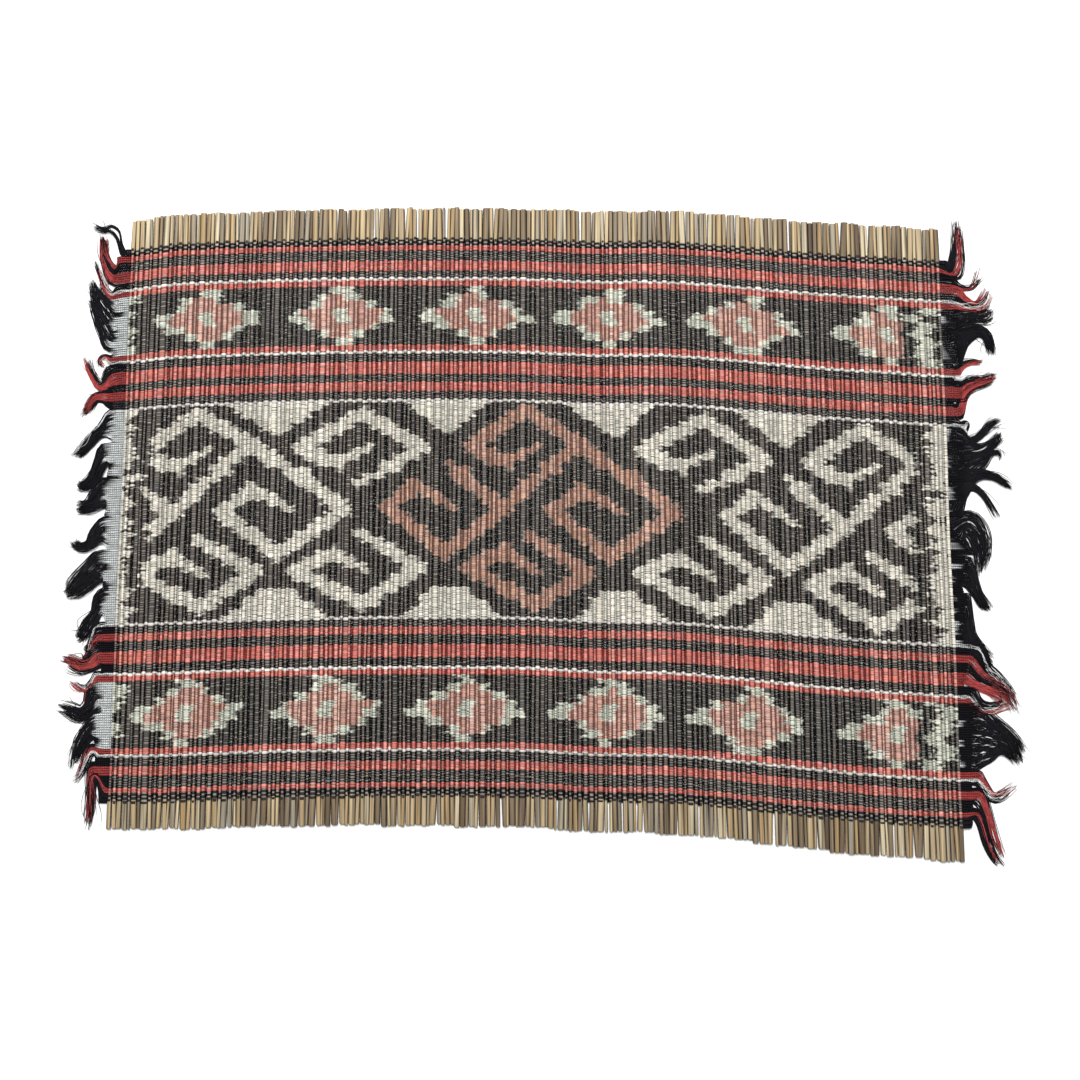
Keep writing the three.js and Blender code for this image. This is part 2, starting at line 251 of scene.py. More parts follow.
RIGHT_TUFTS = (
    (149, 136.5, ((217, 142, 12), (220, 139, 11), (223.5, 140.5, 10.5), (226, 148, 9.5), (227, 159, 7),
        (227, 169.5, 4))),
    (136.5, 134, ((217, 136, 4), (223, 134.5, 3.5), (229, 131.5, 3), (234, 131.5, 2.5), (239, 136.5, 2),
        (245.5, 143, 1.5))),
    (134, 132, ((217, 133.5, 2), (224, 132, 2), (230, 130.5, 2), (234, 132, 2), (236.5, 139, 2),
        (237.5, 147, 2))),
    (132, 120.5, ((217, 127, 12), (223, 126, 11), (229, 123, 7), (235, 121.5, 5), (240, 124.5, 6),
        (243.5, 132.5, 3.5))),
    (120.5, 108, ((217, 114.3, 12.5), (226, 114.5, 11), (235, 115, 9), (241, 116, 9), (245, 120, 6))),
    (108, 88.5, ((217, 98.3, 19.5), (223, 101.5, 14), (229, 104, 8), (235, 106.5, 7), (240, 104.5, 6),
        (242, 98.5, 4), (243, 92, 2))),
    (88.5, 82.5, ((217, 85.5, 6), (222, 82.8, 4.5), (225, 86.5, 3.5), (230, 89.5, 3), (235.5, 90, 2.5),
        (238, 89, 2))),
    (82.5, 67.5, ((217, 75, 15), (222, 73.5, 12), (226, 75.5, 8), (231, 78.5, 6.5), (239, 80, 5.5),
        (247.5, 83.5, 3))),
    (67.5, 58, ((217, 62.8, 9.5), (222, 61.5, 6), (225.5, 66, 4.5), (228, 72, 4), (233, 76, 3.5),
        (241, 79, 3), (246, 82, 2))),
    (58, 55, ((217, 56.5, 3), (224, 54.5, 2.5), (227, 57, 2), (229, 55.5, 1.6), (227, 52.5, 1.4),
        (226, 54, 1.3))),
    (55, 45, ((217, 50, 10), (223, 48.5, 7), (229, 46.5, 4), (235, 50, 3.5), (241, 55.5, 3),
        (248, 59.5, 2))),
    (45, 33, ((217, 39, 12), (225, 39.5, 12), (233, 40, 9), (239, 43, 6), (243.5, 47.5, 4.5),
        (246.5, 52, 3))),
    (33, 24, ((217, 28.5, 9), (226, 31, 10), (234, 35, 8), (240, 39.5, 4), (244.5, 39, 2.5),
        (244.5, 33, 2))),
    (24, 14, ((217, 19, 10), (225, 25, 9), (233, 28, 6), (240, 27, 4), (246, 23.5, 3), (252, 20, 3))),
    (14, 5, ((217, 9.5, 9), (222, 17, 6), (228, 21.5, 5), (234, 18, 3.5), (239, 10, 2.5),
        (243.5, 1.5, 1.5))),
    (5, -15, ((217, -5, 20), (223, 2, 14), (229, -1, 11), (232, -8, 9), (232.5, -17, 7), (231.5, -27, 4))),
    (-15, -35, ((217, -25, 20), (222, -24, 10), (226, -29, 7), (229.5, -36, 5.5), (233, -42, 6),
        (236, -45, 3))),
    (-35, -60, ((217, -47.5, 25), (221, -48, 9), (224, -57, 7), (227, -64, 7.5), (232, -71, 7),
        (236, -75, 5))),
    (-60, -84, ((217, -72, 24), (223, -72.5, 18), (229.5, -79, 13), (236, -83, 11), (242.5, -88.5, 9),
        (249.5, -101, 4))),
    (-84, -93, ((217, -88.5, 9), (222, -89.5, 8), (227, -93.5, 6.5), (233, -95.5, 6), (240, -94, 5),
        (246, -92, 3))),
    (-93, -127, ((217, -110, 34), (224, -110, 32), (232, -111, 24), (240, -113, 14), (245, -118, 9),
        (248.5, -125, 5))),
    (-127, -136, ((217, -131.5, 9), (222.5, -129.5, 8), (227, -133.5, 6), (232, -140, 5), (237, -140, 4),
        (246.5, -134, 3))),
    (-136, -146, ((217, -141, 10), (223, -139.5, 9), (227, -144, 7), (230.5, -154, 5), (233.5, -164, 4),
        (237, -173, 2.5))),
    (-146, -158, ((217, -152, 11), (222, -149.5, 6), (225.5, -153.5, 5), (228.5, -163, 5), (232, -171, 3.5),
        (237, -177, 2))),
)
FRINGE_RINGS = 15
# Past the last splint the warps run on, tied down by a few fine wefts, and then gather; sooner at the corners
HEADING = 9.0
NO_HEADING = -1000.0  # ends before any yarn begins
WEFT_PITCH = 1.1
LEFT_HEADER = (3.0, 11.0)
RIGHT_HEADER = (4.0, 14.0)
CORNER_REACH = 7.0
CORD_WAVE = 0.7  # how far the white cords wind, and over what length
CORD_WAVE_LENGTH = 9.0
ROOT_INSIDE = 1.5
TUFT_FULLNESS = 1.3
STRAY_SHARE = 0.2
CROSSING = 0.5  # how much of their order the plies lose by the tips
LOCK_REACH = (0.84, 1.0)  # share of the tuft's length that a lock has, and then each of its plies
PLY_REACH = (0.88, 1.0)
STRAY_SWING = 3.0  # how far a stray ply, any other ply and a lock swing aside, and how fast
PLY_SWING = 0.7
LOCK_SWING = 0.8
PLY_BEAT = (3, 9)
LOCK_BEAT = (4, 8)
LOWEST_PLY = 0.22  # height of a tuft's lowest plies, and how high the others pile up as it narrows
PILE = 0.13
PILE_RANGE = (0.3, 2.2)
# How far from the weave the resist-dyed warps turn dark, how much that varies, and the furthest
LEFT_UNDYED = (6.8, 2.4, 10.5)
RIGHT_UNDYED = (-2.6, 2.6, 4.5)

# Camera, from the convergence of the splints in the photo
FOCAL_PIXELS = 1500.0
IMAGE_PIXELS = 1080.0
CAMERA_DISTANCE = 792.0
CAMERA_TILT = math.radians(8.75)
CAMERA_AIM_Y = -7.0
SENSOR_WIDTH = 36.0

# Colours, in screen values: undyed cotton in the weave and the fringe, and the dyes
CREAM = (206, 203, 190)
WHITE = (212, 208, 202)
GREENISH = (180, 192, 174)
BLUISH = (222, 228, 230)
ORANGE = (165, 101, 76)
WOVEN_DARK = (40, 37, 39)
WOVEN_RED = (203, 76, 66)
LOOSE_DARK = (17, 17, 25)
LOOSE_RED = (168, 46, 50)
# Painted sheen: how far the crowns of the yarns are drawn paler, in the weave and in the fringe
WOVEN_SHEEN = 0.2
LOOSE_SHEEN = 0.02

# Seeds and steps of the uneven things
GOLDEN_STEP = 0.6180339887
RIB_SEED = 5
SPLINT_SEED = 11
YARN_SEED = 23
DIAMOND_SEED = 70
WARP_SEED = 100
FRINGE_SEED = 500

MAP_MARGIN = 0.02  # room at both ends of a UV row


def spread(count, step):
    """Values from 0 to 1, even over any run of neighbours where step is irrational."""
    return np.mod(np.arange(1, count + 1) * step, 1.0)


def smoothstep(x, low, high):
    t = np.clip((x - low) / (high - low), 0.0, 1.0)
    return t * t * (3.0 - 2.0 * t)


def lie(x, y):
    """Y on the table of a point of the square weave."""
    left = np.maximum(0.0, (BOW_CREST_X - x) / (BOW_CREST_X - FIELD_LEFT))
    right = smoothstep(x, BOW_RIGHT_START_X, FIELD_RIGHT)
    dip = np.exp(-(((x - DIP_X) / DIP_REACH) ** 2))
    drawn = np.maximum(0.0, LEFT_DRAW_X - x) * (LEFT_DRAW * y + LEFT_DROOP)
    drawn = drawn + np.maximum(0.0, x - RIGHT_DRAW_X) * (RIGHT_DRAW * y + RIGHT_DROOP)
    return y - BOW_LEFT * left**2 - BOW_RIGHT * right - DIP * dip + FLARE * np.maximum(0.0, x) * y - drawn


def splint_edges():
    alternate = np.where(np.arange(SPLINT_COUNT) % 2, WIDE_AND_NARROW, -WIDE_AND_NARROW)
    widths = 1.0 + alternate + WIDTH_SPREAD * (spread(SPLINT_COUNT, GOLDEN_STEP) - 0.5)
    steps = np.concatenate(([0.0], np.cumsum(widths)))
    return FIELD_LEFT + steps * (FIELD_RIGHT - FIELD_LEFT) / steps[-1]


EDGES = splint_edges()
CENTRES = (EDGES[:-1] + EDGES[1:]) / 2
RIBS = np.diff(EDGES)
# A narrow splint is a little thinner too
THICKNESSES = SPLINT_THICKNESS * np.clip(0.7 + 0.3 * RIBS / RIBS.mean(), 0.8, 1.1)

# Grooves between the ribs, and what is left of each rib
rib_rng = np.random.default_rng(RIB_SEED)
groove_shares = rib_rng.uniform(*GROOVE, SPLINT_COUNT + 1)
GROOVES = groove_shares * np.minimum(RIBS[np.r_[0, :SPLINT_COUNT]], RIBS[np.r_[:SPLINT_COUNT, -1]])
GROOVE_LIGHTS = GROOVE_LIGHT * ((GROOVE[1] - groove_shares) / (GROOVE[1] - GROOVE[0])) ** 2
RIB_LEFTS = EDGES[:-1] + GROOVES[:-1]
RIB_RIGHTS = EDGES[1:] - GROOVES[1:]
SWAY_RATES = 2 * np.pi / rib_rng.uniform(*SWAY_LENGTH, SPLINT_COUNT)
SWAY_PHASES = rib_rng.uniform(0, 2 * np.pi, SPLINT_COUNT)
RIB_TONES = rib_rng.random(SPLINT_COUNT)


def sway(rib, y):
    """How far to the right a splint strays at Y, inside the weave."""
    middle = (FIELD_BACK + FIELD_FRONT) / 2
    inside = np.maximum(0.0, 1 - ((y - middle) / (FIELD_BACK - middle)) ** 4)
    return SWAY * inside * np.sin(SWAY_RATES[rib] * y + SWAY_PHASES[rib])


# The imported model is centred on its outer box, so the weave's own sizes are moved with its field
field_low, field_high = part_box("woven_field")
SHIFT_X = field_low.x / MM - FIELD_LEFT
SHIFT_Y = field_high.y / MM - lie(EDGES, FIELD_BACK).max()


def in_frame(points):
    """Points of the mat, in millimetres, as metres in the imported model's frame."""
    return (points + np.array([SHIFT_X, SHIFT_Y, 0.0])) * MM


# Meshes from arrays


def make_piece(name, points, faces, corner_map, attributes, material):
    """A mesh from points, faces grouped by their number of corners, UV corners and point attributes."""
    mesh = bpy.data.meshes.new(name)
    points = np.asarray(points, np.float32).reshape(-1, 3)
    corners = np.concatenate([group.ravel() for group in faces]).astype(np.int32)
    totals = np.concatenate([np.full(len(group), group.shape[1]) for group in faces]).astype(np.int32)
    starts = np.concatenate(([0], np.cumsum(totals)[:-1])).astype(np.int32)
    mesh.vertices.add(len(points))
    mesh.vertices.foreach_set("co", points.ravel())
    mesh.loops.add(len(corners))
    mesh.loops.foreach_set("vertex_index", corners)
    mesh.polygons.add(len(totals))
    mesh.polygons.foreach_set("loop_start", starts)
    mesh.polygons.foreach_set("loop_total", totals)
    mapped = np.concatenate([group.reshape(-1, 2) for group in corner_map]).astype(np.float32)
    mesh.uv_layers.new(name="OFBake", do_init=False).data.foreach_set("uv", mapped.ravel())
    for key, values in attributes.items():
        kind, field = ("FLOAT_COLOR", "color") if values.shape[-1] == 4 else ("FLOAT_VECTOR", "vector")
        layer = mesh.attributes.new(key, kind, "POINT")
        layer.data.foreach_set(field, np.ascontiguousarray(values, np.float32).ravel())
    mesh.update(calc_edges=True)
    mesh.validate()
    mesh.shade_smooth()
    piece = bpy.data.objects.new(name, mesh)
    bpy.context.collection.objects.link(piece)
    mesh.materials.append(material)
    return piece


def strip_faces(strips, rings, sides, closed):
    """Quads of many like strips or tubes, each a run of rings of points."""
    around = sides if closed else sides + 1
    strip, ring, side = np.meshgrid(np.arange(strips), np.arange(rings - 1), np.arange(sides), indexing="ij")
    base = (strip * rings + ring) * around
    following = (side + 1) % around
    quads = np.stack((base + side, base + following, base + around + following, base + around + side), -1)
    return quads.reshape(-1, 4)


def strip_map(strips, rings, sides):
    """UV corners that give each strip a row of its own, with room at both ends for a cap."""
    strip, ring, side = np.meshgrid(np.arange(strips), np.arange(rings - 1), np.arange(sides), indexing="ij")
    span = (1.0 - 2.0 * MAP_MARGIN) / (rings - 1)
    u_low = MAP_MARGIN + ring * span
    v_low = (strip + 0.04 + 0.92 * side / sides) / strips
    v_high = (strip + 0.04 + 0.92 * (side + 1) / sides) / strips
    u_high = u_low + span
    corners = ((u_low, v_low), (u_low, v_high), (u_high, v_high), (u_high, v_low))
    return np.stack([np.stack(corner, -1) for corner in corners], -2).reshape(-1, 4, 2)


def cap_faces(strips, rings, sides):
    """End faces of closed tubes: the first ring turned over, and the last ring."""
    first = np.arange(strips)[:, None] * rings * sides + np.arange(sides)[::-1]
    last = (np.arange(strips)[:, None] * rings + rings - 1) * sides + np.arange(sides)
    return np.concatenate((first, last))


def cap_map(strips, sides):
    """UV corners of the end faces, in the room at both ends of each row."""
    turn = 2 * np.pi * np.arange(sides) / sides
    ring_u = 0.35 * MAP_MARGIN * np.cos(turn)
    ring_v = (0.5 + 0.4 * np.sin(turn)) / strips
    rows = np.arange(strips)[:, None] / strips
    first = np.stack(np.broadcast_arrays(0.5 * MAP_MARGIN + ring_u[::-1], rows + ring_v[::-1]), -1)
    last = np.stack(np.broadcast_arrays(1.0 - 0.5 * MAP_MARGIN + ring_u, rows + ring_v), -1)
    return np.concatenate((first, last))


# Materials


def linear(red, green, blue):
    """A colour given in screen values from 0 to 255, as linear light."""
    values = np.array([red, green, blue]) / 255.0
    light = np.where(values <= 0.04045, values / 12.92, ((values + 0.055) / 1.055) ** 2.4)
    return (*light, 1.0)


class Nodes:
    """Short calls for a material's node tree."""

    def __init__(self, name):
        self.material = bpy.data.materials.new(name)
        self.material.use_nodes = True
        self.tree = self.material.node_tree
        self.tree.nodes.clear()
        self.shader = self.add("ShaderNodeBsdfPrincipled")
        output = self.add("ShaderNodeOutputMaterial")
        self.link(self.shader.outputs[0], output.inputs["Surface"])

    def add(self, kind, **settings):
        node = self.tree.nodes.new(kind)
        for key, value in settings.items():
            setattr(node, key, value)
        return node

    def link(self, source, target):
        if isinstance(source, (int, float, tuple)):
            target.default_value = source
        else:
            self.tree.links.new(source, target)

    def attribute(self, name):
        return self.add("ShaderNodeAttribute", attribute_name=name)

    def parts(self, vector):
        node = self.add("ShaderNodeSeparateXYZ")
        self.link(vector, node.inputs[0])
        return node.outputs

    def maths(self, operation, first, second=0.0):
        node = self.add("ShaderNodeMath", operation=operation)
        self.link(first, node.inputs[0])
        self.link(second, node.inputs[1])
        return node.outputs[0]

    def times(self, first, second):
        return self.maths("MULTIPLY", first, second)

    def plus(self, first, second):
        return self.maths("ADD", first, second)

    def mix(self, share, first, second):
        node = self.add("ShaderNodeMix", data_type="RGBA")
        self.link(share, node.inputs[0])
        self.link(first, node.inputs[6])
        self.link(second, node.inputs[7])
        return node.outputs[2]

    def scaled(self, colour, value):
        node = self.add("ShaderNodeVectorMath", operation="SCALE")
        self.link(colour, node.inputs[0])
        self.link(value, node.inputs["Scale"])
        return node.outputs[0]

    def ramp(self, value, stops):
        """Colours blended between stops, each a position and a colour."""
        node = self.add("ShaderNodeValToRGB")
        for _ in stops[2:]:
            node.color_ramp.elements.new(0.5)
        for element, (position, colour) in zip(node.color_ramp.elements, stops):
            element.position = position
            element.color = colour
        self.link(value, node.inputs[0])
        return node.outputs[0]

    def noise(self, vector, scale, detail):
        node = self.add("ShaderNodeTexNoise")
        self.link(vector, node.inputs["Vector"])
        node.inputs["Scale"].default_value = scale
        node.inputs["Detail"].default_value = detail
        return node.outputs["Fac"]

    def stretched(self, vector, x, y, z):
        node = self.add("ShaderNodeVectorMath", operation="MULTIPLY")
        self.link(vector, node.inputs[0])
        node.inputs[1].default_value = (x, y, z)
        return node.outputs[0]

    def remap(self, value, low, high, start=0.0, end=1.0):
        node = self.add("ShaderNodeMapRange")
        self.link(value, node.inputs["Value"])
        node.inputs["From Min"].default_value = start
        node.inputs["From Max"].default_value = end
        node.inputs["To Min"].default_value = low
        node.inputs["To Max"].default_value = high
        return node.outputs[0]

    def bump(self, height, distance):
        node = self.add("ShaderNodeBump")
        node.inputs["Distance"].default_value = distance
        node.inputs["Strength"].default_value = 1.0
        self.link(height, node.inputs["Height"])
        self.link(node.outputs[0], self.shader.inputs["Normal"])


def cotton(name, dark, red, painted_light, heading):
    """Cotton yarn, with a painted sheen that makes the crowns paler. The dye and tint attributes say how much
    of each colour has been taken up. Dye's alpha is the light that gets there, negative on the underside, and
    from it shade is painted down in the grooves between the ribs, deepest for dyed yarns. Tint's alpha is a
    tone for each float. Thread holds the place along the yarn, the place across it and a number of its own,
    with 1 added for every other yarn. Over the length of the heading, fine wefts tie the yarns down by turns."""
    n = Nodes(name)
    taken = n.attribute("dye")
    dye = n.parts(taken.outputs["Vector"])
    tinted = n.attribute("tint")
    tint = n.parts(tinted.outputs["Vector"])
    along, across, own = n.parts(n.attribute("thread").outputs["Vector"])
    other = n.maths("FLOOR", own)
    own = n.maths("FRACT", own)
    colour = n.mix(tint[0], linear(*CREAM), linear(*WHITE))
    colour = n.mix(tint[1], colour, linear(*GREENISH))
    colour = n.mix(tint[2], colour, linear(*BLUISH))
    colour = n.mix(dye[2], colour, linear(*ORANGE))
    colour = n.mix(dye[1], colour, linear(*red))
    colour = n.mix(dye[0], colour, linear(*dark))
    above = taken.outputs["Alpha"]
    below = n.remap(above, 1.0, 0.0, -0.92, -0.55)
    height = n.maths("POWER", n.maths("MAXIMUM", above, below), 1.3)
    tone = tinted.outputs["Alpha"]
    # Painted sheen: where light reaches the crowns, the colour is mixed towards these pale tones
    sheen_tones = (
        (0.0, linear(214, 198, 176)),
        (0.3, linear(236, 220, 218)),
        (0.45, linear(236, 206, 160)),
        (0.6, linear(230, 222, 228)),
        (0.8, linear(240, 218, 190)),
        (1.0, linear(238, 230, 226)),
    )
    painted_sheen = n.times(n.times(height, painted_light), n.remap(tone, 0.3, 1.6))
    painted_sheen = n.times(painted_sheen, n.remap(dye[0], 1.0, 0.25))
    colour = n.mix(painted_sheen, colour, n.ramp(tone, sheen_tones))
    place = n.add("ShaderNodeTexCoord").outputs["Object"]
    fibres = n.noise(n.stretched(place, 320.0, 2200.0, 1500.0), 1.0, 3.0)
    tone_and_shade = n.times(n.remap(own, 0.88, 1.12), n.remap(fibres, 0.7, 1.3, 0.3, 0.7))
    swing = n.times(n.remap(tone, -0.5, 0.5), n.remap(dye[0], 0.35, 0.8))
    tone_and_shade = n.times(tone_and_shade, n.plus(1.0, swing))
    # Painted shade: the yarns go dark down in the grooves between the ribs, most of all dyed ones, and light
    # again up to the crowns
    groove = n.remap(tint[0], 0.85, 0.75)
    for share, dyed_light in zip(dye, (0.02, 0.45, 0.55)):
        groove = n.times(groove, n.remap(share, 1.0, dyed_light))
    crown = n.times(height, n.maths("SUBTRACT", 1.06, groove))
    tone_and_shade = n.times(tone_and_shade, n.plus(groove, crown))
    weft_turns = n.times(along, 2 * math.pi / WEFT_PITCH)
    weft_turns = n.plus(weft_turns, n.times(other, math.pi))
    in_heading = n.remap(along, 1.0, 0.0, heading, heading + 1.0)
    tied_down = n.times(n.maths("SINE", weft_turns), in_heading)
    tone_and_shade = n.times(tone_and_shade, n.remap(tied_down, 0.6, 1.1, -1.0, 1.0))
    n.link(n.scaled(colour, tone_and_shade), n.shader.inputs["Base Color"])
    n.link(n.remap(fibres, 0.65, 0.95), n.shader.inputs["Roughness"])
    n.shader.inputs["Specular IOR Level"].default_value = 0.12
    round_section = n.maths("SUBTRACT", 1.0, n.times(across, across))
    turns = n.plus(n.times(along, 9.0), n.times(across, 1.6))
    twist = n.times(n.maths("SINE", turns), 0.15)
    relief = n.plus(round_section, n.plus(twist, tied_down))
    n.bump(relief, 0.18 * MM)
    return n.material


def bamboo():
    """Split bamboo: each splint has a tone of its own, with grain along it and the odd dark streak. Shade is
    painted on its sides, most of all in the grooves of the weave, and the splints are painted darker towards
    the front. The alpha of the splint attribute is the height round the section, which sets the painted
    shade."""
    n = Nodes("split_bamboo")
    own = n.attribute("splint")
    tone, streak, covered = n.parts(own.outputs["Vector"])
    stops = (
        (0.0, linear(88, 70, 50)),
        (0.2, linear(158, 138, 108)),
        (0.4, linear(186, 164, 126)),
        (0.55, linear(160, 132, 90)),
        (0.7, linear(200, 184, 150)),
        (0.85, linear(154, 143, 124)),
        (1.0, linear(106, 86, 60)),
    )
    place = n.add("ShaderNodeTexCoord").outputs["Object"]
    grain = n.noise(n.stretched(place, 2200.0, 26.0, 2200.0), 1.0, 4.0)
    stain = n.noise(n.stretched(place, 700.0, 12.0, 700.0), 1.0, 3.0)
    dark_line = n.times(n.remap(stain, 0.0, 0.9, 0.5, 0.68), n.remap(streak, 0.3, 1.0))
    colour = n.scaled(n.ramp(tone, stops), n.remap(grain, 0.5, 1.45, 0.3, 0.7))
    colour = n.mix(dark_line, colour, linear(64, 50, 38))
    colour = n.mix(n.times(covered, 0.75), colour, linear(146, 142, 138))
    height = own.outputs["Alpha"]
    bare_shade = n.remap(height, 0.05, 1.0, 0.42, 0.92)
    covered_shade = n.remap(height, 0.02, 0.9, 0.5, 0.95)
    shade = n.mix(covered, bare_shade, covered_shade)
    # Painted light: the splints are drawn darker towards the front, where less light falls
    painted_light = n.remap(n.parts(place)[1], 0.86, 0.96, -0.15, 0.15)
    n.link(n.scaled(n.scaled(colour, shade), painted_light), n.shader.inputs["Base Color"])
    n.link(n.remap(grain, 0.45, 0.75), n.shader.inputs["Roughness"])
    n.shader.inputs["Specular IOR Level"].default_value = 0.35
    n.bump(grain, 0.12 * MM)
    return n.material


def paper():
    n = Nodes("pale_floor")
    place = n.add("ShaderNodeTexCoord").outputs["Object"]
    tooth = n.noise(place, 60.0, 3.0)
    n.link(n.mix(tooth, linear(238, 238, 237), linear(243, 243, 242)), n.shader.inputs["Base Color"])
    n.shader.inputs["Roughness"].default_value = 0.9
    return n.material


COTTON = cotton("dyed_cotton", WOVEN_DARK, WOVEN_RED, WOVEN_SHEEN, NO_HEADING)
LOOSE_COTTON = cotton("loose_cotton", LOOSE_DARK, LOOSE_RED, LOOSE_SHEEN, HEADING)
BAMBOO = bamboo()


# Splints


def splint_ends(bare, slant, length_step):
    """Length of each bare end: it varies a little from one to the next, and more between handfuls."""
    own = BARE_SPREAD * (spread(SPLINT_COUNT, length_step) - 0.5)
    handful = HANDFUL_SPREAD * (spread(SPLINT_COUNT, length_step)[np.arange(SPLINT_COUNT) // HANDFUL] - 0.5)
    return bare + slant * CENTRES + own + handful


def slot_trims(slots):
    """What is lost from the left and right of each bare end to the gaps between ends."""
    left, right = np.zeros((2, SPLINT_COUNT))
    for x in slots:
        edge = np.abs(EDGES - x).argmin()
        left[edge] = SLOT_WIDTH / 2
        right[edge - 1] = SLOT_WIDTH / 2
    return left, right


def make_splints():
    """All the splints as closed rods from tip to tip through the weave, round under the warps and flatter
    where they are bare."""
    rng = np.random.default_rng(SPLINT_SEED)
    sides = 10
    turn = 2 * np.pi * np.arange(sides) / sides + np.pi
    section_x = 0.5 * np.sign(np.cos(turn)) * np.abs(np.cos(turn)) ** 0.8
    round_z = 0.5 * np.sin(turn)
    flat_z = 0.5 * np.sign(np.sin(turn)) * np.abs(np.sin(turn)) ** 0.6
    back = FIELD_BACK + splint_ends(BACK_BARE, BACK_SLANT, math.sqrt(2))
    front = FIELD_FRONT - splint_ends(FRONT_BARE, FRONT_SLANT, math.sqrt(3))
    tip_inset = 0.35
    inset = 3.0
    weave = np.linspace(FIELD_FRONT + inset, FIELD_BACK - inset, SPLINT_STATIONS)
    weave = np.concatenate(([FIELD_FRONT], weave, [FIELD_BACK]))
    weave = np.broadcast_to(weave, (SPLINT_COUNT, len(weave)))
    along = np.column_stack((front, front + tip_inset, weave, back - tip_inset, back))
    rings = along.shape[1]
    taper = np.ones(rings)
    taper[[0, -1]] = 0.85
    left, right = np.zeros((2, SPLINT_COUNT, rings))
    for slots, stations in ((FRONT_SLOTS, slice(0, 3)), (BACK_SLOTS, slice(rings - 3, rings))):
        left_trim, right_trim = slot_trims(slots)
        left[:, stations] = left_trim[:, None]
        right[:, stations] = right_trim[:, None]
    bare = np.ones(rings)
    bare[3:-3] = 0.0
    section_z = bare[:, None] * flat_z + (1 - bare[:, None]) * round_z
    rows = np.arange(SPLINT_COUNT)[:, None]
    covered_middle = ((RIB_LEFTS + RIB_RIGHTS) / 2)[:, None] + sway(rows, along)
    lean = TIP_LEAN * rng.normal(0, 1, (SPLINT_COUNT, 2))
    bare_middle = CENTRES[:, None] + (left - right) / 2
    bare_middle[:, :2] += lean[:, :1]
    bare_middle[:, -2:] += lean[:, 1:]
    bare_width = rng.uniform(*BARE_SHARE, (SPLINT_COUNT, 1)) * RIBS[:, None] - left - right
    x = np.where(bare, bare_middle, covered_middle)
    width = np.where(bare, bare_width, (RIB_RIGHTS - RIB_LEFTS)[:, None])
    width = width * (1 + rng.normal(0, 0.02, (SPLINT_COUNT, rings)))
    z = SPLINT_HEIGHT + rng.normal(0, 0.03, (SPLINT_COUNT, rings))
    points = np.empty((SPLINT_COUNT, rings, sides, 3))
    points[..., 0] = x[..., None] + (width * taper)[..., None] * section_x
    points[..., 1] = lie(CENTRES[:, None], along)[..., None]
    points[..., 2] = z[..., None] + (THICKNESSES[:, None] * taper)[..., None] * section_z
    own = np.empty((SPLINT_COUNT, rings, sides, 4))
    own[..., 0] = rng.random((SPLINT_COUNT, 1, 1))
    own[..., 1] = rng.random((SPLINT_COUNT, 1, 1))
    own[..., 2] = 1 - bare[:, None]
    # Height round the section, from which the material paints shade on the splints' sides
    own[..., 3] = np.abs(np.sin(turn))
    return make_piece(
        "splints",
        in_frame(points),
        [strip_faces(SPLINT_COUNT, rings, sides, True), cap_faces(SPLINT_COUNT, rings, sides)],
        [strip_map(SPLINT_COUNT, rings, sides), cap_map(SPLINT_COUNT, sides)],
        {"splint": own.reshape(-1, 4)},
        BAMBOO,
    )


# Warps


def lay_out_yarns():
    """Every warp from the back to the front: its place and the stripe that it belongs to."""
    places, stripes = [], []
    edge = FIELD_BACK
    for index, (_, dye, end) in enumerate(STRIPES):
        pitch = THICK_PITCHES.get(dye, YARN_PITCH)
        count = max(1, round((edge - end) / pitch))
        places.extend(edge - (np.arange(count) + 0.5) * (edge - end) / count)
        stripes.extend([index] * count)
        edge = end
    return np.array(places), np.array(stripes)


YARN_Y, YARN_STRIPE = lay_out_yarns()
YARN_COUNT = len(YARN_Y)
YARN_PIECE = np.array([piece for piece, _, _ in STRIPES])[YARN_STRIPE]
YARN_DYE = np.array([dye for _, dye, _ in STRIPES])[YARN_STRIPE]
YARN_IS_THICK = np.isin(YARN_DYE, list(THICK_PITCHES))
yarn_rng = np.random.default_rng(YARN_SEED)
YARN_OWN = yarn_rng.random(YARN_COUNT)

# Bundles of the warps that were tied and dyed together
YARN_BUNDLE = np.floor((YARN_Y - FIELD_FRONT) / BUNDLE).astype(int)
BUNDLE_COUNT = YARN_BUNDLE.max() + 1
BUNDLE_MIDDLES = (YARN_BUNDLE + 0.5) * BUNDLE + FIELD_FRONT
bundle_slips = yarn_rng.normal(0, BUNDLE_SLIP, BUNDLE_COUNT)[YARN_BUNDLE]
YARN_SLIPS = bundle_slips + yarn_rng.normal(0, YARN_SLIP, YARN_COUNT)

# Points of a warp over a splint and under one: share of the way across the rib, share of the lift, light that
# gets there, negative on the underside, and share of the float's width. Where the light is 0, at both edges,
# it is taken from the groove.
OVER = (
    (0.0, 0.42, 0.0, 0.2),
    (0.17, 0.82, 0.85, 0.95),
    (0.5, 1.0, 1.0, 1.0),
    (0.83, 0.82, 0.85, 0.95),
    (1.0, 0.42, 0.0, 0.2),
)
UNDER = ((0.15, -0.92, -0.92, 0.35), (0.85, -0.92, -0.92, 0.35))


def warp_path(first_over):
    """X, lift, light, share of the float's width and the rib's number along one warp."""
    rows = []
    for i in range(SPLINT_COUNT):
        lift = (THICKNESSES[i] + YARN_THICKNESS) / 2
        for part, rise, light, width in OVER if (i % 2 == 0) == first_over else UNDER:
            x = RIB_LEFTS[i] + part * (RIB_RIGHTS[i] - RIB_LEFTS[i])
            light = light or GROOVE_LIGHTS[i + round(part)]
            rows.append((x, rise * lift, light, width, i))
    return np.array(rows).T


PATHS = (warp_path(True), warp_path(False))


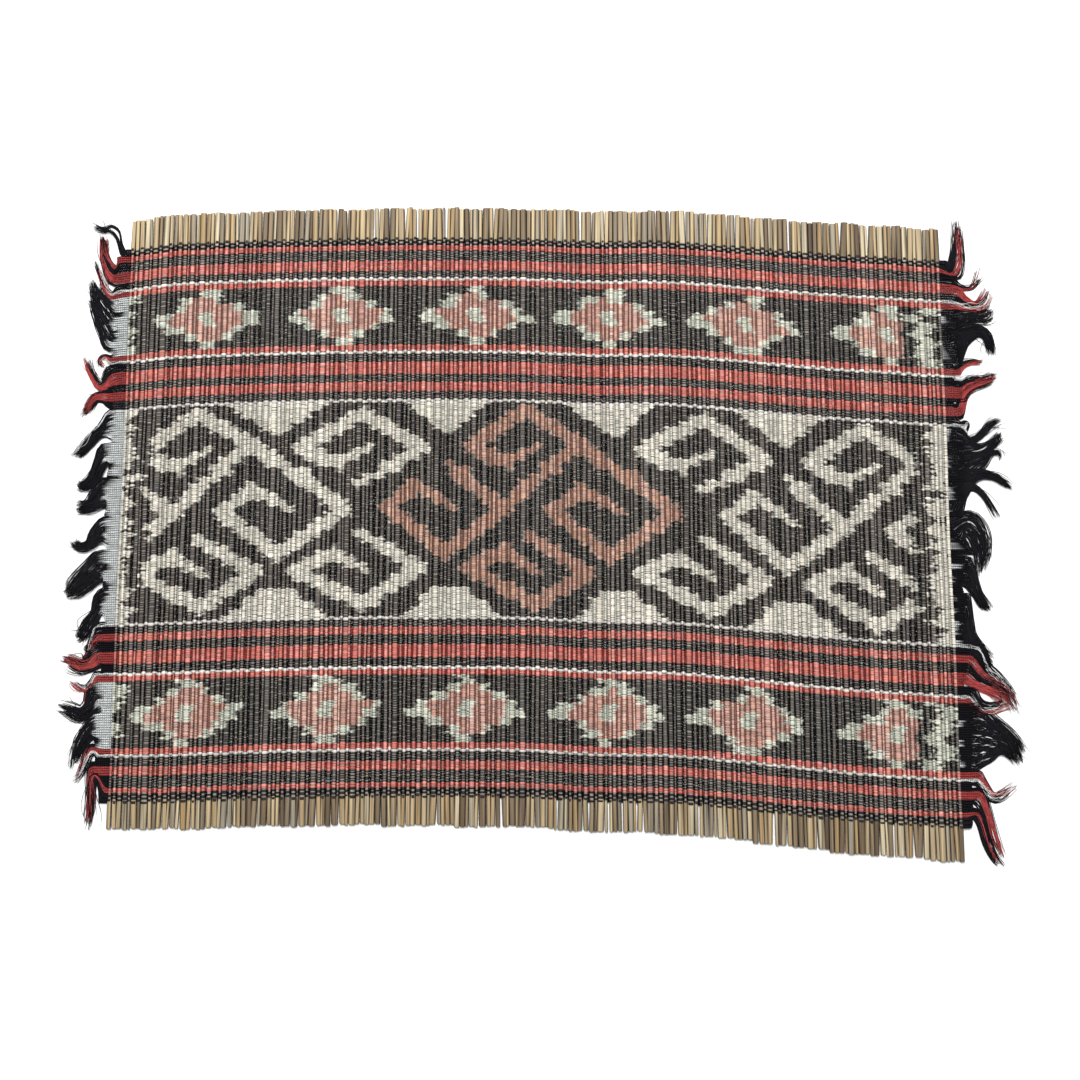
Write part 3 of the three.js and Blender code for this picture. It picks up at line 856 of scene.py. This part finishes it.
def cover(inside):
    """How far points lie inside an edge, from 0 to 1, from their distance in millimetres."""
    return np.clip(inside / DYE_EDGE + 0.5, 0.0, 1.0)


def comes(x, at):
    """From 0 to 1 where dye comes or goes at a place near the ends of the weave."""
    return smoothstep(x, at, at + END_EDGE)


def between(x, low, high):
    return comes(x, low) * (1 - comes(x, high))


def stroke_cover(x, y, strokes, at_x, flip=1.0):
    """A figure drawn in strokes about X, mirrored from the back to the front where flip is -1."""
    deepest = np.full(x.shape, -np.inf)
    for end_width, points in strokes:
        last = len(points) - 2
        for k, ((x0, y0), (x1, y1)) in enumerate(zip(points[:-1], points[1:])):
            from_x = x - at_x - x0
            from_y = y - FIGURE_MIDDLE - flip * y0
            run_x, run_y = x1 - x0, flip * (y1 - y0)
            part = np.clip((from_x * run_x + from_y * run_y) / (run_x**2 + run_y**2), 0.0, 1.0)
            width = 1.0 - (1.0 - end_width) * part if k == last else 1.0
            gap = np.hypot(from_x - part * run_x, from_y - part * run_y)
            deepest = np.maximum(deepest, STROKE_HALF_WIDTH * width - gap)
    return cover(deepest)


def wedge_cover(x, y):
    """Undyed wedges that point inwards from both long edges of the centre."""
    covered = np.zeros(x.shape)
    for wedges, depth in ((BACK_WEDGES, CENTRE_BACK - y), (FRONT_WEDGES, y - CENTRE_FRONT)):
        share = np.clip(depth / WEDGE_DEPTH, 0.0, 1.0)
        for base_low, base_high, tip_low, tip_high in wedges:
            low = base_low + (tip_low - base_low) * share
            high = base_high + (tip_high - base_high) * share
            inside = np.minimum(np.minimum(x - low, high - x), 4.0 * (WEDGE_DEPTH - depth))
            covered = np.maximum(covered, cover(inside))
    return covered


def figure_dyes(x, y, ends, dye, tint):
    """Hooked figures in the centre: one orange between undyed ones, on a dark ground."""
    undyed = wedge_cover(x, y)
    for index, at_x in enumerate(HOOKED_FIGURE_X):
        if index != ORANGE_FIGURE:
            undyed = np.maximum(undyed, stroke_cover(x, y, HOOKED_FIGURE, at_x))
    for at_x in HALF_FIGURE_X:
        undyed = np.maximum(undyed, stroke_cover(x, y, HALF_FIGURE, at_x))
        undyed = np.maximum(undyed, stroke_cover(x, y, HALF_FIGURE, at_x, -1.0))
    dark_bands = np.maximum(between(ends, *CENTRE_LEFT_DARK), between(ends, *CENTRE_RIGHT_DARK))
    undyed = undyed * (1 - dark_bands)
    undyed = np.maximum(undyed, 1 - comes(ends, CENTRE_LEFT_DARK[0]))
    undyed = np.maximum(undyed, comes(ends, CENTRE_RIGHT_DARK[1]))
    orange = stroke_cover(x, y, HOOKED_FIGURE, HOOKED_FIGURE_X[ORANGE_FIGURE])
    dye[..., 0] = TIED_DYE * (1 - np.maximum(undyed, orange))
    dye[..., 2] = orange * 0.85


def uneven_sides(at_x, half_widths, rng):
    """X of the left and right of each step of a diamond."""
    sides = at_x + np.array([[-1.0], [1.0]]) * half_widths
    return sides + rng.normal(0, DIAMOND_JITTER, sides.shape)


def diamond_dyes(x, y, ends, dye, tint):
    """A row of stepped diamonds: a rose fill with an undyed rim and eye, on a dark ground."""
    rng = np.random.default_rng(DIAMOND_SEED)
    undyed = np.zeros(x.shape)
    rose = np.zeros(x.shape)
    depth = (y.max() - y) / (y.max() - y.min())
    step = np.minimum((depth * len(DIAMOND_STEPS)).astype(int), len(DIAMOND_STEPS) - 1)
    outer, inner = np.array(DIAMOND_STEPS).T
    for at_x in BACK_DIAMONDS if y.max() > 0 else FRONT_DIAMONDS:
        low, high = uneven_sides(at_x, outer, rng)
        fill_low, fill_high = uneven_sides(at_x, inner, rng)
        undyed = np.maximum(undyed, cover(np.minimum(x - low[step], high[step] - x)))
        eye = np.isin(step, EYE_STEPS) * cover(EYE_HALF_WIDTH - np.abs(x - at_x))
        fill = cover(np.minimum(x - fill_low[step], fill_high[step] - x)) * (inner[step] > 0)
        rose = np.maximum(rose, fill * (1 - eye))
    cut = smoothstep(x, *DIAMOND_CUT)
    left_end = 1 - comes(ends, ROW_LEFT_UNDYED)
    right_end = between(ends, *ROW_RIGHT_UNDYED)
    rose = rose * (1 - cut)
    undyed = np.maximum(undyed * (1 - cut), rose)
    dye[..., 0] = TIED_DYE * (1 - np.maximum(undyed, np.maximum(left_end, right_end)))
    dye[..., 1] = rose * 0.3
    dye[..., 2] = rose * 0.6
    tint[..., 1] = 0.6 * (1 - rose)


def plain_dyes(yarns, rings):
    """Dye and tint of yarns of one colour: dark, red and orange; white, greenish and bluish."""
    dye = np.zeros((len(yarns), rings, 4))
    tint = np.zeros_like(dye)
    kinds = YARN_DYE[yarns]
    dye[(kinds == "black") | (kinds == "selvedge"), :, 0] = 1.0
    dye[kinds == "red", :, 1] = 0.95
    tint[kinds == "white", :, 0] = 1.0
    return dye, tint


def yarn_attributes(dye, tint, thread):
    """Point attributes, with the dyes of each ring repeated around it."""
    around = thread.shape[2]
    return {
        "dye": np.repeat(dye, around, axis=1).reshape(-1, 4),
        "tint": np.repeat(tint, around, axis=1).reshape(-1, 4),
        "thread": thread.reshape(-1, 3),
    }


def resist_dye(x, yarns, dye, tint):
    """Add the figures to the warps that were tied and dyed before weaving."""
    slip = YARN_SLIPS[yarns][:, None]
    bundled = (0.15 * YARN_Y[yarns] + 0.85 * BUNDLE_MIDDLES[yarns])[:, None]
    single = YARN_Y[yarns][:, None]
    for kind, paint, y in (("figures", figure_dyes, bundled), ("diamonds", diamond_dyes, single)):
        rows = YARN_DYE[yarns] == kind
        if rows.any():
            taken, tinted = dye[rows], tint[rows]
            places = np.broadcast_arrays((x + slip)[rows], y[rows], (x + END_SLIP * slip)[rows])
            paint(*places, taken, tinted)
            dye[rows], tint[rows] = taken, tinted


def make_warps(name, yarns):
    """The warps of one band, as ribbons that go over and under the splints."""
    rng = np.random.default_rng(WARP_SEED + yarns[0])
    x, lift, light, share, rib = np.stack([PATHS[k] for k in yarns % 2], 1)
    rib = rib.astype(int)
    rings = x.shape[1]
    x = x + sway(rib, YARN_Y[yarns][:, None])
    rows = np.arange(len(yarns))[:, None]
    float_own = rng.random((len(yarns), SPLINT_COUNT))[rows, rib]
    float_shift = rng.normal(0, FLOAT_SHIFT, (len(yarns), SPLINT_COUNT))[rows, rib]
    y = YARN_Y[yarns][:, None] + float_shift
    dye, tint = plain_dyes(yarns, rings)
    resist_dye(x, yarns, dye, tint)
    dye[..., 3] = light
    tint[..., 3] = 0.65 * RIB_TONES[rib] + 0.35 * float_own
    tint[YARN_DYE[yarns] == "selvedge", :, 3] *= 0.3
    thick = YARN_IS_THICK[yarns][:, None]
    loose_width = FLOAT_WIDTH + (RED_FLOAT_WIDTH - FLOAT_WIDTH) * dye[..., 1]
    dark_width = np.where(YARN_DYE[yarns] == "black", DARK_FLOAT_WIDTH, TIED_FLOAT_WIDTH)[:, None]
    loose_width = loose_width + (dark_width - loose_width) * dye[..., 0]
    float_width = np.where(thick, THICK_FLOAT_WIDTH, loose_width) * (0.7 + 0.6 * float_own)
    bound_width = np.where(thick, THICK_BOUND_WIDTH, BOUND_WIDTH)
    half = (bound_width + (float_width - bound_width) * share) / 2
    sides = np.array([-1.0, 1.0])
    points = np.empty((len(yarns), rings, 2, 3))
    points[..., 0] = x[..., None]
    points[..., 1] = lie(x[..., None], y[..., None] + half[..., None] * sides)
    points[..., 2] = SPLINT_HEIGHT + (lift + rng.normal(0, 0.03, x.shape))[..., None]
    thread = np.empty_like(points)
    thread[..., 0] = x[..., None]
    thread[..., 1] = sides
    thread[..., 2] = YARN_OWN[yarns][:, None, None]
    piece = make_piece(
        f"warps_{name}",
        in_frame(points),
        [strip_faces(len(yarns), rings, 1, False)[:, ::-1]],
        [strip_map(len(yarns), rings, 1)[:, ::-1]],
        yarn_attributes(dye, tint, thread),
        COTTON,
    )
    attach(piece, "root")
    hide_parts("woven_field")
    return piece


# Fringes


def smooth_curve(points, count):
    """A curve through charted points, taken at even steps."""
    padded = np.concatenate((2 * points[:1] - points[1:2], points, 2 * points[-1:] - points[-2:-1]))
    at = np.linspace(0, len(points) - 1, count)
    i = np.minimum(at.astype(int), len(points) - 2)
    t = (at - i)[:, None]
    p0, p1, p2, p3 = (padded[i + k] for k in range(4))
    return 0.5 * (2 * p1 + (p2 - p0) * t + (2 * p0 - 5 * p1 + 4 * p2 - p3) * t**2
                  + (3 * p1 - p0 - 3 * p2 + p3) * t**3)


def tuft_paths(tuft, weave_y, ply_y, root_z, lock, cord, edge, outward, header, rng):
    """Paths of the plies of one tuft, which keep some of the order of their warps as the tuft narrows."""
    back, front, chart = tuft
    fine = 60
    course = smooth_curve(np.array(chart, float), fine)
    tangent = np.gradient(course[:, :2], axis=0)
    tangent /= np.linalg.norm(tangent, axis=1)[:, None]
    normal = outward * np.stack((-tangent[:, 1], tangent[:, 0]), -1)
    root_y = lie(edge, weave_y) + ply_y
    place = np.clip((root_y - (back + front) / 2) / ((back - front) / 2), -1, 1)
    count = len(root_y)
    locks = lock.max() + 1
    reach = rng.uniform(*LOCK_REACH, locks)[lock] * rng.uniform(*PLY_REACH, count)
    stray = rng.random(count) < STRAY_SHARE
    straying = np.where(stray, STRAY_SWING, PLY_SWING) * rng.normal(0, 1, count)
    lock_straying = LOCK_SWING * rng.normal(0, 1, locks)[lock]
    beat = rng.uniform(*PLY_BEAT, count)
    phase = rng.uniform(0, 2 * np.pi, count)
    lock_beat = rng.uniform(*LOCK_BEAT, locks)[lock]
    lock_phase = rng.uniform(0, 2 * np.pi, locks)[lock]
    layer = 0.6 * rng.random(locks)[lock] + 0.4 * rng.random(count)
    s = np.linspace(0, 1, FRINGE_RINGS) * reach[:, None]
    at = s * (fine - 1)
    rows = np.arange(fine)
    middle = np.stack([np.interp(at, rows, course[:, k]) for k in range(2)], -1)
    aside = np.stack([np.interp(at, rows, normal[:, k]) for k in range(2)], -1)
    width = np.interp(at, rows, np.maximum(course[:, 2], 1.0))
    run = np.concatenate(([0.0], np.cumsum(np.linalg.norm(np.diff(course[:, :2], axis=0), axis=1))))
    run = np.interp(at, rows, run)
    corner = np.exp(-np.minimum(FIELD_BACK - weave_y, weave_y - FIELD_FRONT) / CORNER_REACH)[:, None]
    leaves = smoothstep(run, header[0] * (1 - corner), header[1] * (1 - 0.7 * corner))
    place = place[:, None] + CROSSING * s**1.5 * (rng.uniform(-1, 1, count) - place)[:, None]
    loose = straying[:, None] * s**2 * np.sin(beat[:, None] * s + phase[:, None])
    loose += lock_straying[:, None] * s * np.sin(lock_beat[:, None] * s + lock_phase[:, None])
    plan = middle + aside * (place * TUFT_FULLNESS * width / 2 + loose)[..., None]
    straight = lie(edge + outward * run, weave_y[:, None]) + ply_y[:, None]
    winding = CORD_WAVE * cord[:, None] * np.sin(2 * np.pi * run / CORD_WAVE_LENGTH + phase[:, None])
    plan[..., 1] = straight * (1 - leaves) + plan[..., 1] * leaves + winding * smoothstep(run, 0.0, 3.0)
    pile = np.clip(PILE * count / width, *PILE_RANGE)
    height = LOWEST_PLY + layer[:, None] * pile * (1 - 0.4 * s) + 0.25 * np.abs(loose) * stray[:, None]
    height = root_z[:, None] * (1 - leaves) + height * leaves
    return np.concatenate((plan, height[..., None]), -1)


def make_fringe(name, node, tufts, edge, outward, header, undyed):
    """The warps' loose ends on one side, untwisted into plies and drawn together in tufts."""
    rng = np.random.default_rng(int(FRINGE_SEED + outward))
    plies = np.array([THICK_PLIES.get(dye, PLIES) for dye in YARN_DYE])
    yarns = np.repeat(np.arange(YARN_COUNT), plies)
    ply = np.concatenate([(np.arange(count) + 0.5) / count - 0.5 for count in plies])
    weave_y = YARN_Y[yarns]
    ply_y = ply * np.array([THICK_PITCHES.get(dye, YARN_PITCH) for dye in YARN_DYE[yarns]])
    root_y = lie(edge, weave_y) + ply_y
    cord = (YARN_DYE[yarns] == "white").astype(float)
    last_rib = 0 if outward < 0 else SPLINT_COUNT - 1
    over = (yarns + last_rib) % 2 == 0
    root_z = SPLINT_HEIGHT + np.where(over, 0.4, -0.4)
    fronts = np.array([front for _, front, _ in tufts])
    tuft_of = np.minimum(np.searchsorted(-fronts, -root_y), len(tufts) - 1)
    paths = np.empty((len(yarns), FRINGE_RINGS, 3))
    for index, tuft in enumerate(tufts):
        members = tuft_of == index
        lock = (yarns[members] - yarns[members].min()) // LOCK
        plies_in = (weave_y[members], ply_y[members], root_z[members], lock, cord[members])
        paths[members] = tuft_paths(tuft, *plies_in, edge, outward, header, rng)
    root_x = np.full(len(yarns), edge - ROOT_INSIDE * outward)
    paths = np.concatenate((np.stack((root_x, root_y, root_z), -1)[:, None], paths), 1)
    rings = FRINGE_RINGS + 1
    run = np.linalg.norm(np.diff(paths, axis=1), axis=2)
    out = np.concatenate((np.zeros((len(yarns), 1)), np.cumsum(run, 1)), 1)

    tangent = np.gradient(paths, axis=1)
    tangent /= np.linalg.norm(tangent, axis=2)[..., None]
    aside = np.stack((-tangent[..., 1], tangent[..., 0], np.zeros(tangent.shape[:2])), -1)
    aside /= np.linalg.norm(aside, axis=2)[..., None]
    upward = np.cross(tangent, aside)
    sides = 3
    turn = 2 * np.pi * np.arange(sides) / sides + np.pi / 2
    radius = PLY_RADIUS * rng.uniform(0.85, 1.15, (len(yarns), 1)) * (1 - 0.6 * np.linspace(0, 1, rings) ** 6)
    ring = aside[:, :, None] * np.cos(turn)[:, None] + upward[:, :, None] * np.sin(turn)[:, None]
    points = paths[:, :, None] + radius[..., None, None] * ring
    points[..., 2] = np.maximum(points[..., 2], 0.02)

    dye, tint = plain_dyes(yarns, rings)
    tied = (YARN_DYE[yarns] == "figures") | (YARN_DYE[yarns] == "diamonds")
    slip = 0.9 * rng.normal(0, 1, BUNDLE_COUNT)[YARN_BUNDLE] + 0.4 * rng.normal(0, 1, YARN_COUNT)
    mean, varied, furthest = undyed
    turns_dark = np.minimum(mean + varied * slip, furthest)[yarns][:, None]
    darkness = smoothstep(out - ROOT_INSIDE, turns_dark - 0.7, turns_dark + 0.7)
    dye[tied, :, 0] = darkness[tied]
    tint[tied, :, 2] = 0.8
    tint[YARN_DYE[yarns] == "white", :, 2] = 0.6
    dye[..., 3] = 1.0
    tint[..., 3] = 0.5
    thread = np.empty((len(yarns), rings, sides, 3))
    thread[..., 0] = (out - ROOT_INSIDE)[..., None]
    thread[..., 1] = 0.6 * np.cos(turn)
    thread[..., 2] = (yarns % 2 + 0.99 * rng.random(len(yarns)))[:, None, None]
    piece = make_piece(
        name,
        in_frame(points),
        [strip_faces(len(yarns), rings, sides, True), cap_faces(len(yarns), rings, sides)],
        [strip_map(len(yarns), rings, sides), cap_map(len(yarns), sides)],
        yarn_attributes(dye, tint, thread),
        LOOSE_COTTON,
    )
    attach(piece, "root")
    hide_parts(node)
    return piece


# Stage


def make_stage():
    bpy.ops.mesh.primitive_plane_add(size=6.0, location=(0, 0, 0))
    floor = bpy.context.object
    floor.name = "floor"
    floor.data.materials.append(paper())

    camera = bpy.data.objects.new("camera", bpy.data.cameras.new("camera"))
    camera.data.sensor_width = SENSOR_WIDTH
    camera.data.lens = SENSOR_WIDTH * FOCAL_PIXELS / IMAGE_PIXELS
    aim_y = CAMERA_AIM_Y + SHIFT_Y
    camera.location = (
        SHIFT_X * MM,
        (aim_y - CAMERA_DISTANCE * math.sin(CAMERA_TILT)) * MM,
        CAMERA_DISTANCE * math.cos(CAMERA_TILT) * MM,
    )
    camera.rotation_euler = (CAMERA_TILT, 0, 0)
    bpy.context.collection.objects.link(camera)
    bpy.context.scene.camera = camera

    def area_light(name, size, power, location):
        light = bpy.data.objects.new(name, bpy.data.lights.new(name, "AREA"))
        light.data.size = size
        light.data.energy = power
        light.location = location
        light.rotation_euler = (-light.location).to_track_quat("-Z", "Y").to_euler()
        bpy.context.collection.objects.link(light)

    area_light("overhead", size=0.9, power=40.0, location=(-0.2, 0.72, 1.5))
    area_light("fill", size=1.2, power=8.0, location=(0.9, -0.9, 1.3))
    world = bpy.data.worlds.new("studio")
    world.use_nodes = True
    world.node_tree.nodes["Background"].inputs["Color"].default_value = (1, 1, 1, 1)
    world.node_tree.nodes["Background"].inputs["Strength"].default_value = 0.25
    bpy.context.scene.world = world
    bpy.context.scene.view_settings.view_transform = "Standard"


make_stage()
splints = make_splints()
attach(splints, "root")
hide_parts("splint_ends_back", "splint_ends_front")
left_side = (LEFT_TUFTS, FIELD_LEFT, -1.0, LEFT_HEADER, LEFT_UNDYED)
right_side = (RIGHT_TUFTS, FIELD_RIGHT, 1.0, RIGHT_HEADER, RIGHT_UNDYED)
fringes = [
    make_fringe("fringe_yarns_left", "fringe_left", *left_side),
    make_fringe("fringe_yarns_right", "fringe_right", *right_side),
]
for name in dict.fromkeys(YARN_PIECE):
    warps = make_warps(name, np.flatnonzero(YARN_PIECE == name))
